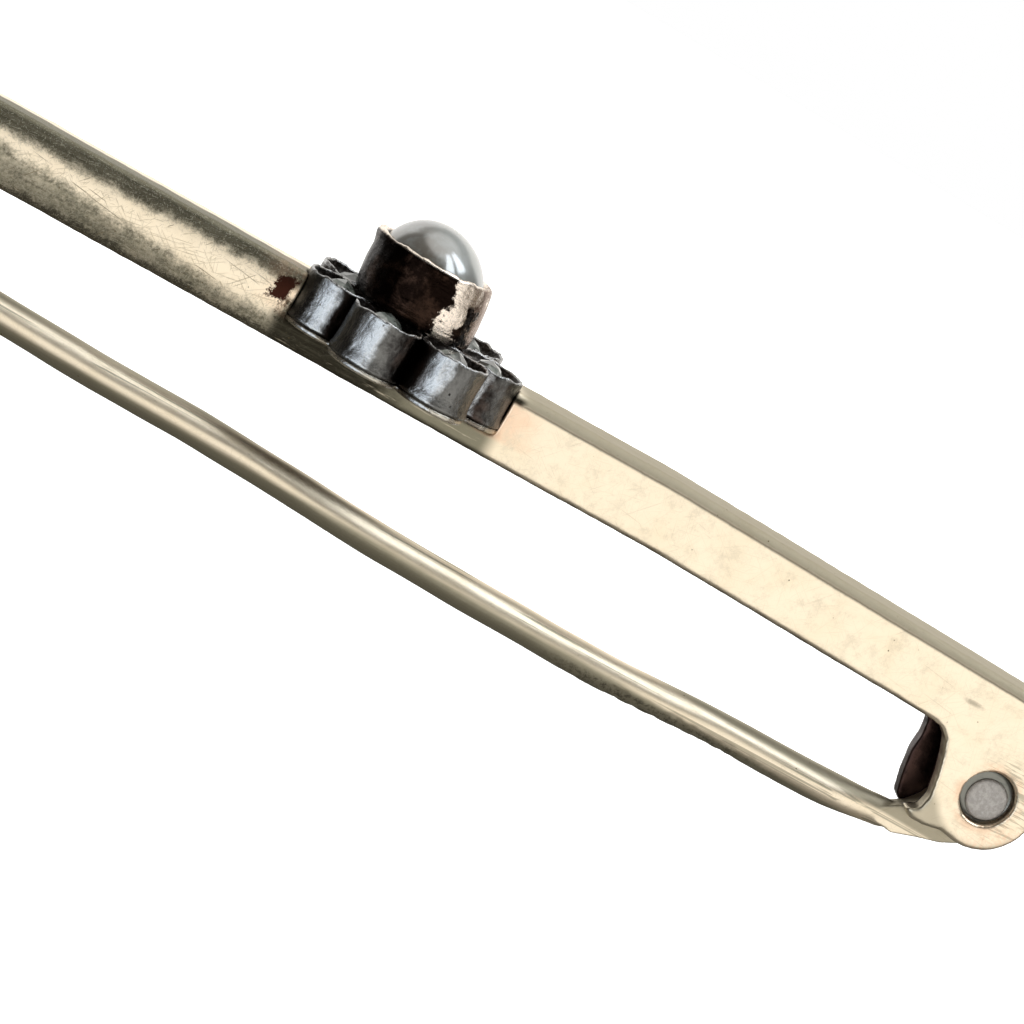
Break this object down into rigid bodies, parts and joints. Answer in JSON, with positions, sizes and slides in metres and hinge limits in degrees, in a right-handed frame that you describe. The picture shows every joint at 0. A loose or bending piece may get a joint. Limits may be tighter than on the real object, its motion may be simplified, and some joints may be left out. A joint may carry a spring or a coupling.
{
  "type": "hinged bar pin",
  "caption": "Gold bar brooch with a pearl and diamond flower cluster, a stem riveted in a fork at one end and a hook catch at the other, for a hat, stock or lapel.",
  "frame": {"origin": "on the bar's flat back, under the centre of the flower cluster and in the middle of the bar's width", "axes": "+X along the bar towards the hinge, +Z out of the bar towards the pearl, +Y across the bar; the stem lies on the -Z side"},
  "size_m": [0.0613, 0.0091, 0.0129],
  "materials": {
    "gold": "worn, finely scratched yellow gold",
    "stem_gold": "drawn gold wire, scratched",
    "rose_gold": "worn rose gold",
    "oxidised_silver": "dark, pitted silver with bright worn ridges",
    "foil": "bright foil",
    "rivet": "matte grey",
    "diamond": "rose-cut facets",
    "pearl": "silvery nacre"
  },
  "bodies": {
    "brooch": {"bar": "gold", "catch_plate": "gold", "catch_hook": "gold", "hinge_rivet": "rivet", "cluster_back_plate": "oxidised_silver", "gallery_post": "oxidised_silver", "pearl_bezel": "rose_gold", "pearl": "pearl", "petal_collet_1": "oxidised_silver", "petal_collet_2": "oxidised_silver", "petal_collet_3": "oxidised_silver", "petal_collet_4": "oxidised_silver", "petal_collet_5": "oxidised_silver", "petal_collet_6": "oxidised_silver", "petal_collet_7": "oxidised_silver", "petal_foil_1": "foil", "petal_foil_2": "foil", "petal_foil_3": "foil", "petal_foil_4": "foil", "petal_foil_5": "foil", "petal_foil_6": "foil", "petal_foil_7": "foil", "rose_diamond_1": "diamond", "rose_diamond_2": "diamond", "rose_diamond_3": "diamond", "rose_diamond_4": "diamond", "rose_diamond_5": "diamond", "rose_diamond_6": "diamond", "rose_diamond_7": "diamond"},
    "stem": {"stem_knuckle": "stem_gold", "stem_wire": "stem_gold"}
  },
  "joints": [
    {"name": "stem_hinge_turn", "type": "hinge", "parent": "brooch", "child": "stem", "pos_m": [0.02925, 0, -0.00215], "axis": [0, -1, 0], "range_deg": [0, 110]}
  ]
}
